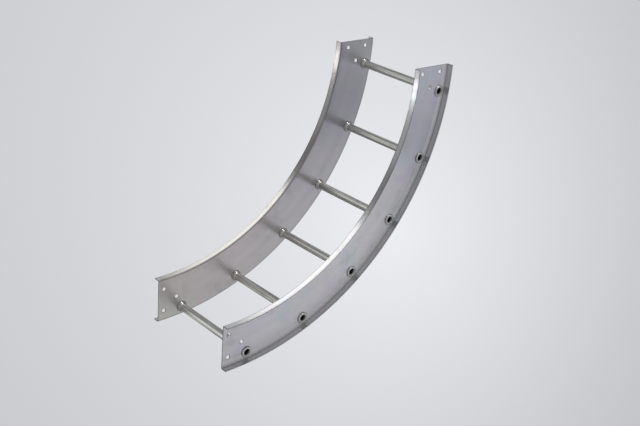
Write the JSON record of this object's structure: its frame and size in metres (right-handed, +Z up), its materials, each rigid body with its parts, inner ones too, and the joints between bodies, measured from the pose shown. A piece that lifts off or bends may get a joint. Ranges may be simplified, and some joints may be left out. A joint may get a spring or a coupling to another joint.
{
  "type": "cable ladder inside riser",
  "caption": "Curved cable ladder section, a right-angle inside riser: channel side rails joined by swaged tube rungs, drilled at both ends for splice plates.",
  "frame": {"origin": "on the floor, under the middle of the bounding box, with the bend lying on its side", "axes": "+Z up, along the rungs; the low end faces -X and the high end faces +Y; the bend's centre is towards -X and +Y"},
  "size_m": [0.727, 0.727, 0.34],
  "materials": {
    "rail_sheet": "satin 2B stainless sheet, cut and folded",
    "rung_tube": "satin stainless tube, swaged into the side rails"
  },
  "bodies": {
    "root": {"side_rail_lower": "rail_sheet", "side_rail_upper": "rail_sheet", "rung_1": "rung_tube", "rung_2": "rung_tube", "rung_3": "rung_tube", "rung_4": "rung_tube", "rung_5": "rung_tube", "rung_6": "rung_tube"}
  },
  "joints": []
}
